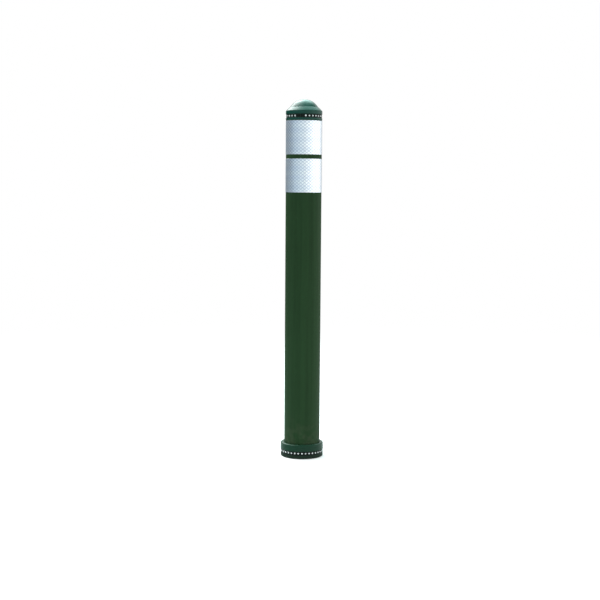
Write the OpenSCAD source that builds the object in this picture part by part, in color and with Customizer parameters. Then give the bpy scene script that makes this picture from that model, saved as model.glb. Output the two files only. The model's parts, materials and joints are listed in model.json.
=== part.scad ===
// Flexible delineator post. It stands on the ground round one central anchor stud,
// with Z up and the origin on the ground at the middle of the foot. Millimetres.
//
// A soft tube is bolted down through a flange turned in at its lower end. A two-part
// base holds the lower strip of glass beads and a two-part cap holds the upper one.
// Two wraps of reflective sheet sit below the cap.

/* [Post] */
// Overall height, ground to the top of the cap
post_h = 800; // [650:1:1000]
// Outside diameter of the tube
tube_d = 80; // [66:0.5:100]
// Wall thickness of the tube
tube_wall = 4; // [3:0.25:5]
// Length of tube that takes each bend, one stretch above the other
flex_len = 96; // [75:1:120]

/* [Reflective sheets] */
// Width of each sheet
sheet_h = 74; // [40:1:100]
// Bare tube between the sheets
sheet_gap = 9.5; // [5:0.5:30]
// Bare tube between the upper sheet and the cap
sheet_top_gap = 1.5; // [0.5:0.5:10]
// Thickness of a sheet
sheet_t = 0.4; // [0.3:0.05:0.8]

/* [Cap] */
// How far the cap stands out past the tube, all round
cap_overhang = 0.5; // [0.4:0.1:3]
// Height of the lip below the beads
cap_lip_h = 4.6; // [3:0.1:8]
// Height of the upright rim above the beads
cap_rim_h = 7.6; // [5:0.1:12]
// Height of the sloping shoulder, rim to step
cap_shoulder_h = 8.4; // [5:0.1:14]
// Width of the sloping shoulder, seen from above
cap_shoulder_w = 8; // [5:0.5:12]
// Width of the ledge between the shoulder and the crown
cap_step = 1; // [0.5:0.1:2]
// Height of the crown above the step
cap_crown_h = 17; // [10:0.5:24]
// Fullness of the crown: 2 makes a plain bowl, and more keeps its middle flatter
crown_fullness = 2.6; // [2:0.1:4]
// Thickness of the moulded cap walls
cap_wall = 3.2; // [2.5:0.1:4]
// Depth of the cap's plug inside the tube
plug_h = 26; // [16:1:50]
// Number of screws that join the two halves of the cap
cap_screw_count = 4; // [3:1:6]

/* [Base] */
// How far the collar stands out past the tube
collar_overhang = 8.7; // [8:0.1:14]
// Height of the collar above the beads
collar_h = 15; // [10:0.5:30]
// Radius of the rounded upper edge of the collar
collar_lip_r = 3; // [1.5:0.25:5]
// How far the foot is set in from the collar
foot_inset = 0.9; // [0:0.1:3]
// Height of the foot
foot_h = 8.6; // [8:0.1:14]
// Radius of the rounded lower edge of the foot
foot_edge_r = 2.6; // [1:0.1:4]
// Thickness of the tube's inward flange
flange_t = 5; // [3.5:0.5:8]
// Width of the tube's inward flange
flange_w = 13; // [11:0.5:14]
// Number of screws through the flange
core_screw_count = 4; // [3:1:4]
// Number of screws up into the collar
collar_screw_count = 6; // [4:1:10]

/* [Anchor] */
// Thickness of the steel anchor plate
plate_t = 4; // [3.4:0.1:5]
// How far the anchor plate reaches past the heads of the flange screws
plate_margin = 0.8; // [0.4:0.1:2.5]
// Minor diameter of the anchor thread, 13.84 for M16
thread_minor_d = 13.84; // [10:0.01:16]
// Hexagon nut, across the flats
nut_af = 24; // [20:0.5:27]
// Length of the long nut
nut_h = 24; // [16:1:26]

/* [Beads] */
// Diameter of a glass bead
bead_d = 4; // [3:0.1:4.8]
// Height of a bead strip
strip_h = 8.2; // [7:0.1:10]
// Places for a bead round the cap
cap_bead_places = 30; // [12:1:30]
// Places for a bead round the base
base_bead_places = 36; // [12:1:36]
// Places left plain where the ends of a strip meet
blank_places = 2; // [1:1:4]
// Direction that the ends of the cap's strip face, in degrees from +X
cap_joint_angle = -102.6; // [-180:0.1:180]
// Direction that the ends of the base's strip face, in degrees from +X
base_joint_angle = 95.5; // [-180:0.1:180]

/* [Fits and fasteners] */
// Gap between a moulding and the soft tube
fit_gap = 0.3; // [0.2:0.05:0.6]
// Gap between parts that sit one inside the other
seat_gap = 0.05; // [0.02:0.01:0.1]
// Thickness of the mirror foil behind a bead strip
foil_t = 0.3; // [0.2:0.05:0.5]
// Thread diameter of the flange screws
core_screw_d = 6; // [4:0.5:6.5]
// Thread diameter of the collar screws
collar_screw_d = 2.2; // [1.8:0.1:2.6]
// Thread diameter of the cap screws
cap_screw_d = 3.5; // [2.5:0.1:4]
// Section diameter of the cap's seal ring
seal_d = 2.2; // [1.5:0.1:3]

/* [Hidden] */
$fn = 96;

eps = 0.01;         // overlap that keeps a cut clean
arc_steps = 6;      // straight pieces in a rounded edge
tube_r = tube_d / 2;
bore_r = tube_r - tube_wall;

// How a bead sits in its strip
bead_r = bead_d / 2;
bead_seat = 1.3;    // depth from a bead's middle to the face of its strip
bead_shy = 0.2;     // how far a bead stays inside the edge that guards it
wall_behind_bead = 0.15;
strip_slot_h = strip_h + 2 * seat_gap;
strip_split = 0.6;  // gap between the two ends of a strip

// Base, from the ground up
collar_r = tube_r + collar_overhang;
foot_r = collar_r - foot_inset;
collar_bore_r = tube_r + fit_gap;
strip_top_z = foot_h + strip_slot_h;
collar_top_z = strip_top_z + collar_h;
base_bead_ring_r = collar_r - bead_shy - bead_r;
base_strip_in_r = base_bead_ring_r - bead_r - wall_behind_bead;
base_groove_r = base_strip_in_r - foil_t - 2 * seat_gap;
collar_draft = 0.8; // how much slimmer the collar is at its top
flex_z = collar_top_z + 2;

// Anchor and the flange screws
plate_z = 1;        // how far the plate is held off the ground
plate_seat_z = plate_z + plate_t;
nut_corner_r = nut_af / 2 / cos(30);
plate_hole_r = thread_minor_d / 2 + 1.6;
screw_gap = 0.1;
core_in_r = bore_r - flange_w;
core_circle_r = bore_r - flange_w / 2;
core_head_h = core_screw_d / 2 - 0.5;
core_head_r = core_screw_d / 2 + core_head_h;
plate_r = core_circle_r + core_head_r + plate_margin;
core_top_z = collar_top_z - 1;
core_screw_top_z = core_top_z - 5;
collar_circle_r = (collar_bore_r + base_groove_r) / 2;
collar_head_h = 1.6;
collar_head_r = collar_screw_d;
collar_head_z = 3;
collar_screw_top_z = strip_top_z + 8;

// Joint heights: each bend turns about the middle of its stretch
lower_bend_z = flex_z + flex_len / 2;
tube_split_z = flex_z + flex_len;
upper_bend_z = tube_split_z + flex_len / 2;

// Cap, from the tube's end up
cap_r = tube_r + cap_overhang;
cap_top_h = cap_lip_h + strip_slot_h + cap_rim_h + cap_shoulder_h + cap_crown_h;
cap_z = post_h - cap_top_h;
cap_slot_z = cap_z + cap_lip_h;
cap_rim_z = cap_slot_z + strip_slot_h;
shoulder_z = cap_rim_z + cap_rim_h;
step_z = shoulder_z + cap_shoulder_h;
cap_bead_ring_r = cap_r - bead_shy - bead_r;
cap_strip_in_r = cap_bead_ring_r - bead_r - wall_behind_bead;
cap_groove_r = cap_strip_in_r - foil_t - 2 * seat_gap;
plug_r = bore_r - fit_gap;
plug_in_r = plug_r - cap_wall;
hub_in_r = cap_groove_r - cap_wall;
step_r = cap_r - cap_shoulder_w;
crown_r = step_r - cap_step;
cap_boss_r = cap_screw_d / 2 + 2;
cap_circle_r = min(plug_in_r, hub_in_r) - cap_boss_r + 0.3;
cap_head_r = cap_screw_d - 0.3;
cap_head_h = 2.2;
seal_z = cap_z - plug_h * 0.55;
seal_ring_r = bore_r - seat_gap - seal_d / 2;

// Reflective sheets, from the cap down
upper_sheet_z = cap_z - sheet_top_gap - sheet_h;
lower_sheet_z = upper_sheet_z - sheet_gap - sheet_h;

// A point at the given radius and angle about a centre
function polar(centre, r, a) = [centre[0] + r * cos(a), centre[1] + r * sin(a)];

// Points of an arc from one angle to another
function arc(centre, r, a0, a1) =
    [for (i = [0:arc_steps]) polar(centre, r, a0 + (a1 - a0) * i / arc_steps)];

// A plain round ring standing on z
module ring(r_out, r_in, z, h) {
    translate([0, 0, z])
        difference() {
            cylinder(r = r_out, h = h);
            translate([0, 0, -eps]) cylinder(r = r_in, h = h + 2 * eps);
        }
}

// Upright rods on a circle, as screws or as the holes for them
module rods(count, circle_r, r, z, h) {
    for (i = [0:count - 1])
        rotate([0, 0, (i + 0.5) * 360 / count])
            translate([circle_r, 0, z]) cylinder(r = r, h = h, $fn = 32);
}

// Upright cones on a circle, wide end down, as countersunk heads
module cones(count, circle_r, r_low, r_high, z, h) {
    for (i = [0:count - 1])
        rotate([0, 0, (i + 0.5) * 360 / count])
            translate([circle_r, 0, z]) cylinder(r1 = r_low, r2 = r_high, h = h, $fn = 32);
}

// Six-sided sockets on a circle, cut up into screw heads
module sockets(count, circle_r, af, z, h) {
    for (i = [0:count - 1])
        rotate([0, 0, (i + 0.5) * 360 / count])
            translate([circle_r, 0, z]) cylinder(d = af / cos(30), h = h, $fn = 6);
}

// Turns to each place for a bead that is in use
module at_beads(places, joint_angle) {
    for (i = [0:places - blank_places - 1])
        rotate([0, 0, joint_angle + (i + (blank_places + 1) / 2) * 360 / places]) children();
}

// Strip with a round window for each bead and a split where its ends meet
module bead_strip(r_in, ring_r, z, places, joint_angle) {
    r_out = ring_r + bead_seat;
    color([0.03, 0.04, 0.035])
        difference() {
            ring(r_out, r_in, z, strip_h);
            at_beads(places, joint_angle)
                translate([r_in - 1, 0, z + strip_h / 2])
                    rotate([0, 90, 0]) cylinder(r = bead_r + seat_gap, h = r_out - r_in + 2, $fn = 32);
            rotate([0, 0, joint_angle])
                translate([r_in - 1, -strip_split / 2, z - 1])
                    cube([r_out - r_in + 2, strip_split, strip_h + 2]);
        }
}

module beads(ring_r, z, places, joint_angle) {
    color([0.9, 0.92, 0.9])
        at_beads(places, joint_angle)
            translate([ring_r, 0, z + strip_h / 2]) sphere(r = bead_r, $fn = 32);
}

module bead_foil(r_in, z) {
    color([0.8, 0.82, 0.82]) ring(r_in + foil_t, r_in, z, strip_h);
}

// ---- base ----

// Disc that stands on the ground and carries everything else
module foot_plate() {
    color([0.09, 0.14, 0.11])
        difference() {
            rotate_extrude()
                polygon(concat(
                    [[0, 0]],
                    arc([foot_r - foot_edge_r, foot_edge_r], foot_edge_r, -90, 0),
                    [[foot_r, foot_h - 0.6], [foot_r - 0.6, foot_h], [0, foot_h]]));
            translate([0, 0, -eps]) cylinder(r = plate_r + fit_gap, h = plate_seat_z + eps);
            translate([0, 0, -eps]) cylinder(r = nut_corner_r + fit_gap, h = foot_h + 1);
            rods(core_screw_count, core_circle_r, core_screw_d / 2 + screw_gap, 0, foot_h + 1);
            rods(collar_screw_count, collar_circle_r, collar_screw_d / 2 + screw_gap, 0, foot_h + 1);
            rods(collar_screw_count, collar_circle_r, collar_head_r + screw_gap,
                 -eps, collar_head_z + collar_head_h + eps);
        }
}

// Ring with a rounded lip round the bottom of the tube
module base_collar() {
    top_r = collar_r - collar_draft;
    color([0.11, 0.19, 0.15])
        difference() {
            rotate_extrude()
                polygon(concat(
                    [[collar_bore_r, foot_h], [base_groove_r, foot_h],
                     [base_groove_r, strip_top_z], [collar_r - 0.5, strip_top_z],
                     [collar_r, strip_top_z + 0.5]],
                    arc([top_r - collar_lip_r, collar_top_z - collar_lip_r], collar_lip_r, 0, 90),
                    [[collar_bore_r + 1.2, collar_top_z], [collar_bore_r, collar_top_z - 1.2]]));
            rods(collar_screw_count, collar_circle_r, collar_screw_d / 2 + seat_gap,
                 foot_h - eps, collar_screw_top_z - foot_h + 0.5);
        }
}

module base_bead_strip() {
    bead_strip(base_strip_in_r, base_bead_ring_r, foot_h + seat_gap, base_bead_places, base_joint_angle);
}

module base_beads() {
    beads(base_bead_ring_r, foot_h + seat_gap, base_bead_places, base_joint_angle);
}

module base_bead_foil() {
    bead_foil(base_groove_r + seat_gap, foot_h + seat_gap);
}

// Stiff ring that holds the tube's flange down and keeps the tube round
module core_plug() {
    z = foot_h + flange_t;
    core_r = bore_r - fit_gap;
    color([0.2, 0.2, 0.2])
        difference() {
            rotate_extrude()
                polygon([[core_in_r, z], [core_r, z], [core_r, core_top_z - 3],
                         [core_r - 3, core_top_z], [core_in_r, core_top_z]]);
            rods(core_screw_count, core_circle_r, core_screw_d / 2 + seat_gap,
                 z - eps, core_screw_top_z - z + 0.5);
        }
}

// Countersunk screws up through plate, foot and flange into the core
module core_screws() {
    color([0.7, 0.71, 0.73])
        difference() {
            union() {
                cones(core_screw_count, core_circle_r, core_head_r, core_screw_d / 2,
                      plate_z + 0.3, core_head_h);
                rods(core_screw_count, core_circle_r, core_screw_d / 2,
                     plate_z + 0.3 + core_head_h - eps,
                     core_screw_top_z - plate_z - 0.3 - core_head_h);
            }
            sockets(core_screw_count, core_circle_r, core_screw_d * 0.66, 0, plate_z + 2.6);
        }
}

// Small screws up through the foot into the collar
module collar_screws() {
    color([0.7, 0.71, 0.73])
        difference() {
            union() {
                rods(collar_screw_count, collar_circle_r, collar_head_r, collar_head_z, collar_head_h);
                rods(collar_screw_count, collar_circle_r, collar_screw_d / 2,
                     collar_head_z + collar_head_h - eps,
                     collar_screw_top_z - collar_head_z - collar_head_h);
            }
            sockets(collar_screw_count, collar_circle_r, collar_screw_d * 0.66, 0, collar_head_z + 1.2);
        }
}

// Steel disc let into the underside of the foot
module anchor_plate() {
    color([0.6, 0.62, 0.63])
        difference() {
            ring(plate_r, plate_hole_r, plate_z, plate_t);
            cones(core_screw_count, core_circle_r, core_head_r + screw_gap,
                  core_screw_d / 2 + screw_gap, plate_z + 0.3, core_head_h);
            rods(core_screw_count, core_circle_r, core_head_r + screw_gap, 0, plate_z + 0.3 + eps);
            rods(core_screw_count, core_circle_r, core_screw_d / 2 + screw_gap, 0, plate_seat_z + 1);
        }
}

// Long nut welded on the plate, which takes the anchor stud
module anchor_nut() {
    color([0.6, 0.62, 0.63])
        translate([0, 0, plate_seat_z])
            difference() {
                cylinder(r = nut_corner_r, h = nut_h, $fn = 6);
                translate([0, 0, -eps]) cylinder(d = thread_minor_d, h = nut_h + 2 * eps);
            }
}

// ---- tube ----

// Lower end of the tube: flange, root and the stretch that bends first
module tube_flex_section() {
    color([0.16, 0.25, 0.17])
        difference() {
            rotate_extrude()
                polygon([[core_in_r, foot_h], [tube_r, foot_h], [tube_r, tube_split_z],
                         [bore_r, tube_split_z], [bore_r, foot_h + flange_t],
                         [core_in_r, foot_h + flange_t]]);
            rods(core_screw_count, core_circle_r, core_screw_d / 2 + fit_gap,
                 foot_h - eps, flange_t + 2 * eps);
        }
}

// The rest of the tube, up to the cap
module post_tube() {
    color([0.16, 0.25, 0.17]) ring(tube_r, bore_r, tube_split_z, cap_z - tube_split_z);
}

module reflective_sheet(z) {
    color([0.86, 0.9, 0.92]) ring(tube_r + seat_gap + sheet_t, tube_r + seat_gap, z, sheet_h);
}

module lower_reflective_sheet() {
    reflective_sheet(lower_sheet_z);
}

module upper_reflective_sheet() {
    reflective_sheet(upper_sheet_z);
}

// ---- cap ----

// Lower half of the cap: plug, lip and the seat for the beads
module cap_plug_ring() {
    color([0.15, 0.26, 0.23])
        difference() {
            union() {
                rotate_extrude()
                    polygon([[plug_in_r, cap_z - plug_h], [plug_r - 1.5, cap_z - plug_h],
                             [plug_r, cap_z - plug_h + 1.5], [plug_r, cap_z], [cap_r - 0.4, cap_z],
                             [cap_r, cap_z + 0.4], [cap_r, cap_slot_z - 0.4],
                             [cap_r - 0.4, cap_slot_z], [cap_groove_r, cap_slot_z],
                             [cap_groove_r, cap_rim_z], [hub_in_r, cap_rim_z],
                             [hub_in_r, cap_slot_z - 0.6], [plug_in_r, cap_z]]);
                intersection() {
                    rods(cap_screw_count, cap_circle_r, cap_boss_r, cap_z, cap_rim_z - cap_z);
                    cylinder(r = plug_r - cap_wall / 2, h = post_h);
                }
            }
            rods(cap_screw_count, cap_circle_r, cap_screw_d / 2 + screw_gap,
                 cap_z - 1, cap_rim_z - cap_z + 2);
            ring(plug_r + 1, seal_ring_r - seal_d / 2 - seat_gap,
                 seal_z - seal_d / 2 - seat_gap, seal_d + 2 * seat_gap);
        }
}

// Seal ring in its groove round the plug
module cap_seal() {
    color([0.02, 0.02, 0.02])
        translate([0, 0, seal_z])
            rotate_extrude() translate([seal_ring_r, 0]) circle(d = seal_d, $fn = 32);
}

// Screws up through the lower half of the cap into the dome
module cap_screws() {
    color([0.7, 0.71, 0.73])
        difference() {
            union() {
                rods(cap_screw_count, cap_circle_r, cap_head_r, cap_z - cap_head_h, cap_head_h);
                rods(cap_screw_count, cap_circle_r, cap_screw_d / 2,
                     cap_z - eps, cap_rim_z + cap_rim_h - cap_z);
            }
            sockets(cap_screw_count, cap_circle_r, cap_screw_d * 0.6, cap_z - cap_head_h - eps, 1.4);
        }
}

// Upper half of the cap: rim, sloping shoulder, ledge and crown
module cap_dome() {
    // the crown falls away from its middle with a power of the distance from the axis
    share = [for (i = [0:10]) sin(i * 9)];
    fall = [for (s = share) cap_crown_h * pow(s, crown_fullness)];
    crown = [for (i = [0:10]) [crown_r * share[i], post_h - fall[i]]];
    outer = concat(crown,
        [[step_r, step_z - 0.3], [cap_r - 0.9, shoulder_z + 0.5], [cap_r, shoulder_z - 0.9],
         [cap_r, cap_rim_z + 0.4], [cap_r - 0.4, cap_rim_z]]);
    inner_crown = [for (i = [10:-1:0])
        [(crown_r - cap_wall) * share[i], post_h - cap_wall - fall[i]]];
    color([0.15, 0.26, 0.23])
        difference() {
            union() {
                rotate_extrude()
                    polygon(concat(outer,
                        [[hub_in_r, cap_rim_z], [hub_in_r, shoulder_z - cap_wall / 2]],
                        inner_crown));
                intersection() {
                    rods(cap_screw_count, cap_circle_r, cap_boss_r, cap_rim_z, cap_crown_h + cap_rim_h);
                    rotate_extrude() polygon(concat(outer, [[0, cap_rim_z]]));
                }
            }
            rods(cap_screw_count, cap_circle_r, cap_screw_d / 2 + seat_gap,
                 cap_rim_z - eps, cap_rim_h + 0.5);
        }
}

module cap_bead_strip() {
    bead_strip(cap_strip_in_r, cap_bead_ring_r, cap_slot_z + seat_gap, cap_bead_places, cap_joint_angle);
}

module cap_beads() {
    beads(cap_bead_ring_r, cap_slot_z + seat_gap, cap_bead_places, cap_joint_angle);
}

module cap_bead_foil() {
    bead_foil(cap_groove_r + seat_gap, cap_slot_z + seat_gap);
}

foot_plate();
base_collar();
base_bead_strip();
base_beads();
base_bead_foil();
core_plug();
core_screws();
collar_screws();
anchor_plate();
anchor_nut();
tube_flex_section();
post_tube();
lower_reflective_sheet();
upper_reflective_sheet();
cap_plug_ring();
cap_seal();
cap_screws();
cap_dome();
cap_bead_strip();
cap_beads();
cap_bead_foil();
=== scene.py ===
"""A flexible road delineator post on its packed frame: laid out as an add-on, run as a script."""

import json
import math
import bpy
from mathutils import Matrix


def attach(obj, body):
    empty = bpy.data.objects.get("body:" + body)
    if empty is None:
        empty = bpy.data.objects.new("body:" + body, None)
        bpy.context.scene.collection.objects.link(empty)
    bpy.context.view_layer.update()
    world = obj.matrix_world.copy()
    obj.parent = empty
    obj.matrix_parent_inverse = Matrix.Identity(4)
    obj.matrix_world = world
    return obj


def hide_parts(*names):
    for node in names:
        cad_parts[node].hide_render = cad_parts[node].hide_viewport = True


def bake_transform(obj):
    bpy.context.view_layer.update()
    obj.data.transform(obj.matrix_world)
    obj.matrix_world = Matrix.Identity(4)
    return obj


bl_info = {
    "name": "Flexible Delineator Post",
    "version": (1, 0, 0),
    "blender": (4, 5, 0),
    "location": "3D View > Sidebar > Delineator",
    "description": "Builds a flexible delineator post piece by piece on its packed frame",
    "category": "Object",
}

import bpy
import numpy as np
from mathutils import Quaternion

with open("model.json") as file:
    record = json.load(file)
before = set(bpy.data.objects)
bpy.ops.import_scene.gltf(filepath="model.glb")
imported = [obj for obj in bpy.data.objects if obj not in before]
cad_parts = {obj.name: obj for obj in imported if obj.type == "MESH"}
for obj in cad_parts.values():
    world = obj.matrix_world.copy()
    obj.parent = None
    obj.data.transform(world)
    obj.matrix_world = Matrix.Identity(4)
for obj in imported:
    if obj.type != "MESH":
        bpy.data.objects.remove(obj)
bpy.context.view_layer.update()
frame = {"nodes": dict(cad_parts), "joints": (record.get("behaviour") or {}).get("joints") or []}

TURNS = 144  # points round a large turned surface, a multiple of every hole count
MICRON = 1e-6
SHARP = math.radians(38)  # a steeper fold is a sharp edge
SLIP, PLAY, WIDE_PLAY, LOOSE = 0.00002, 0.00005, 0.0001, 0.0003  # clearances
SOFT_EDGE, CRISP_EDGE = 0.0012, 0.0005  # radii of moulded edges
BLIND = 0.0005  # how far a blind hole runs past its screw
SIDES = 32  # points round a small turned surface
FULL_TURN = 2 * np.pi
JOINT_Z = {j["name"]: j["pos_m"][2] for j in frame["joints"]}
LOWER_BEND = JOINT_Z["bend_along_road"]
UPPER_BEND = JOINT_Z["bend_across_road"]
HALF_FLEX = (UPPER_BEND - LOWER_BEND) / 2


# ---- reading the frame ----

def points_of(node):
    """The points of a CAD node's mesh, as rows x, y, z."""
    return np.array([vertex.co for vertex in frame["nodes"][node].data.vertices])


def measure(node):
    """The inner radius, outer radius, lowest and highest level of a CAD node."""
    x, y, z = points_of(node).T
    radius = np.hypot(x, y)
    return tuple(float(v) for v in (radius.min(), radius.max(), z.min(), z.max()))


def circle_of(node):
    """The radius of the circle that small parts stand on, and a part's reach either side of it."""
    inner, outer, _, _ = measure(node)
    return (inner + outer) / 2, (outer - inner) / 2


def shank_radius(node):
    """The radius of a screw's shank: how far its topmost points lie from its own axis."""
    x, y, z = points_of(node).T
    radius = np.hypot(x, y)[z > z.max() - MICRON]
    return float(radius.max() - radius.min()) / 2


# ---- outlines: arrays of (radius, height), counterclockwise round the solid ----

def rounded(corners, steps=6):
    """An outline through corners (radius, height, fillet). A fillet is an arc tangent to both sides,
    with a point a little before and after it, which keeps the shading of the flats even."""
    points = np.array([c[:2] for c in corners], float)
    out = []
    for i, (_, _, fillet) in enumerate(corners):
        here = points[i]
        if fillet <= 0:
            out.append(here[None])
            continue
        back, on = points[i - 1] - here, points[i + 1] - here
        shortest = min(np.linalg.norm(back), np.linalg.norm(on))
        back, on = back / np.linalg.norm(back), on / np.linalg.norm(on)
        half = math.acos(float(np.clip(back @ on, -1, 1))) / 2
        reach = fillet / math.tan(half)
        centre = here + (back + on) / np.linalg.norm(back + on) * fillet / math.sin(half)
        start = here + back * reach - centre
        turn = math.copysign(math.pi - 2 * half, back[1] * on[0] - back[0] * on[1])
        angle = np.linspace(0, turn, steps + 1)
        cos, sin = np.cos(angle), np.sin(angle)
        across = np.array([-start[1], start[0]])
        arc = np.outer(cos, start) + np.outer(sin, across) + centre
        lead = min(0.2 * fillet, 0.4 * max(0.0, shortest - reach))
        out += [arc[:1] + back * lead, arc, arc[-1:] + on * lead]
    return np.vstack(out)


def divided(outline, longest):
    """The same outline with extra points, so that no stretch of it is longer than longest."""
    rows = [outline[:1]]
    for start, end in zip(outline[:-1], outline[1:]):
        parts = max(1, math.ceil(np.linalg.norm(end - start) / longest))
        rows.append(start + (end - start) * np.arange(1, parts + 1)[:, None] / parts)
    return np.vstack(rows)


# ---- surfaces: (points, quads) ----

def grid_quads(rows, columns, wrap=True):
    """Quads of a grid of points numbered row by row. If wrap, its last column meets its first."""
    low = np.arange(rows - 1)[:, None] * columns
    high = low + columns
    here = np.arange(columns if wrap else columns - 1)[None, :]
    beside = (here + 1) % columns
    return np.stack([low + here, low + beside, high + beside, high + here], -1).reshape(-1, 4)


def turned(outline, turns=TURNS, radius_at=None):
    """An outline turned about Z: x = r cos(a), y = r sin(a). radius_at(r, z, a) may reshape r."""
    outline = np.asarray(outline, float)
    angle = np.linspace(0, FULL_TURN, turns, endpoint=False)[None, :]
    radius = np.repeat(outline[:, :1], turns, axis=1)
    height = np.repeat(outline[:, 1:2], turns, axis=1)
    if radius_at is not None:
        radius = radius_at(radius, height, angle + 0 * radius)
    points = np.stack([radius * np.cos(angle), radius * np.sin(angle), height], -1)
    return points.reshape(-1, 3), grid_quads(len(outline), turns)


def middles(count):
    """The middle directions of equal sectors about Z."""
    return (np.arange(count) + 0.5) * FULL_TURN / count


def copied_round(surface, angles, offset=0.0):
    """The surface moved out along X by offset, then copied at each angle about Z."""
    points, quads = surface
    cos, sin = np.cos(angles)[:, None], np.sin(angles)[:, None]
    x, y, z = points[:, 0] + offset, points[:, 1], points[:, 2]
    moved = np.stack([cos * x - sin * y, sin * x + cos * y, z + 0 * cos], -1)
    shift = (np.arange(len(angles)) * len(points))[:, None, None]
    return moved.reshape(-1, 3), (quads[None] + shift).reshape(-1, 4)


def welded(*surfaces):
    """Surfaces joined into one: points within a micron become one, and a quad that loses a corner
    becomes a triangle. Columns after x, y, z are those of the first of the points."""
    sizes = np.cumsum([0] + [len(p) for p, _ in surfaces])
    points = np.vstack([p for p, _ in surfaces])
    quads = np.vstack([q + start for (_, q), start in zip(surfaces, sizes)])
    key = np.round(points[:, :3] / MICRON + 0.1234).astype(np.int64)
    _, first, index = np.unique(key, axis=0, return_index=True, return_inverse=True)
    quads = index.reshape(-1)[quads]
    same = quads == np.roll(quads, -1, axis=1)
    lost = same.sum(axis=1)
    triangles = quads[lost == 1][~same[lost == 1]].reshape(-1, 3)
    return points[first], quads[lost == 0], triangles


class Holes:
    """Round holes on a circle, one in the middle of each equal sector of a ring."""

    SIDE_STEPS = 4

    def __init__(self, count, circle, inner, outer):
        self.count, self.circle = count, circle
        self.arc_steps = TURNS // count
        edge = self.sector(inner, outer)
        corner = np.cumsum([0] + 2 * [self.arc_steps, self.SIDE_STEPS])
        aim = np.unwrap(np.arctan2(edge[:, 1], edge[:, 0] - circle))
        aim = np.append(aim, aim[0] + FULL_TURN)
        self.direction = np.interp(np.arange(len(edge)), corner, aim[corner])

    def sector(self, inner, outer):
        """The edge of one sector, anticlockwise from its outer corner: arc, side, arc, side."""
        half = np.pi / self.count
        swing = np.linspace(-half, half, self.arc_steps + 1)
        slide = np.linspace(0, 1, self.SIDE_STEPS + 1)
        radius = np.concatenate([swing[:-1] * 0 + outer, outer + (inner - outer) * slide[:-1],
                                 swing[:-1] * 0 + inner, inner + (outer - inner) * slide[:-1]])
        still = slide[:-1] * 0
        angle = np.concatenate([swing[:-1], still + half, swing[:0:-1], still - half])
        return np.stack([radius * np.cos(angle), radius * np.sin(angle)], 1)

    def loop(self, radius, z):
        """The points of one hole's rim, at its own sector's place along X."""
        x = self.circle + radius * np.cos(self.direction)
        return np.stack([x, radius * np.sin(self.direction), x * 0 + z], 1)

    def face(self, inner, outer, z, radius, up):
        """A flat ring with the holes in it: rows run from a hole straight out to its sector's edge."""
        edge = self.sector(inner, outer)
        edge = np.column_stack([edge, edge[:, 0] * 0 + z])
        share = np.array([0, 0.35, 1.0])[:, None, None]
        rows = self.loop(radius, z)[None] * (1 - share) + edge[None] * share
        rows = rows[::-1] if up else rows
        return copied_round((rows.reshape(-1, 3), grid_quads(3, len(edge))), middles(self.count))

    def wall(self, steps):
        """The inside of the holes, as (radius, z) steps from the top down."""
        rows = np.vstack([self.loop(radius, z) for radius, z in steps])
        quads = grid_quads(len(steps), len(self.direction))
        return copied_round((rows, quads), middles(self.count))


def ball(radius, rings=16, columns=24):
    """A sphere with its poles on X: x = -r cos(t), and a circle of radius r sin(t) round it."""
    t = np.linspace(0, np.pi, rings + 1)[:, None]
    a = np.linspace(0, FULL_TURN, columns, endpoint=False)[None, :]
    points = np.stack([0 * a - np.cos(t), np.sin(t) * np.cos(a), np.sin(t) * np.sin(a)], -1)
    return points.reshape(-1, 3) * radius, grid_quads(rings + 1, columns)


# ---- objects ----

def add_object(name, surface):
    """A mesh object of a welded surface, smooth but for its sharp corners."""
    points, quads, triangles = surface
    mesh = bpy.data.meshes.new(name)
    mesh.from_pydata(points[:, :3].tolist(), [], quads.tolist() + triangles.tolist())
    mesh.shade_smooth()
    mesh.set_sharp_from_angle(angle=SHARP)
    mesh.update()
    piece = bpy.data.objects.new(name, mesh)
    bpy.context.scene.collection.objects.link(piece)
    return piece


def add_piece(name, surface, slot, node, body, *materials):
    """The visible piece for a CAD node, with its materials and the body it rides on, if any. The slot is
    not used.
    """
    piece = add_object(name, surface)
    for material in materials:
        piece.data.materials.append(material)
    if body:
        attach(piece, body)
    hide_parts(node)
    return piece


# ---- materials ----

class Signal:
    """A socket's value in a shader expression. Each operator adds the Math node that does it."""

    def __init__(self, finish, socket):
        self.finish, self.socket = finish, socket

    def math(self, operation, *others):
        values = dict(enumerate([self, *others]))
        return self.finish.node("Math", {"operation": operation}, values)

    def __add__(self, other):
        return self.math("ADD", other)

    def __sub__(self, other):
        return self.math("SUBTRACT", other)

    def __rsub__(self, other):
        return (self - other) * -1.0

    def __mul__(self, other):
        return self.math("MULTIPLY", other)

    def __truediv__(self, other):
        return self.math("DIVIDE", other)

    __radd__, __rmul__ = __add__, __mul__


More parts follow.
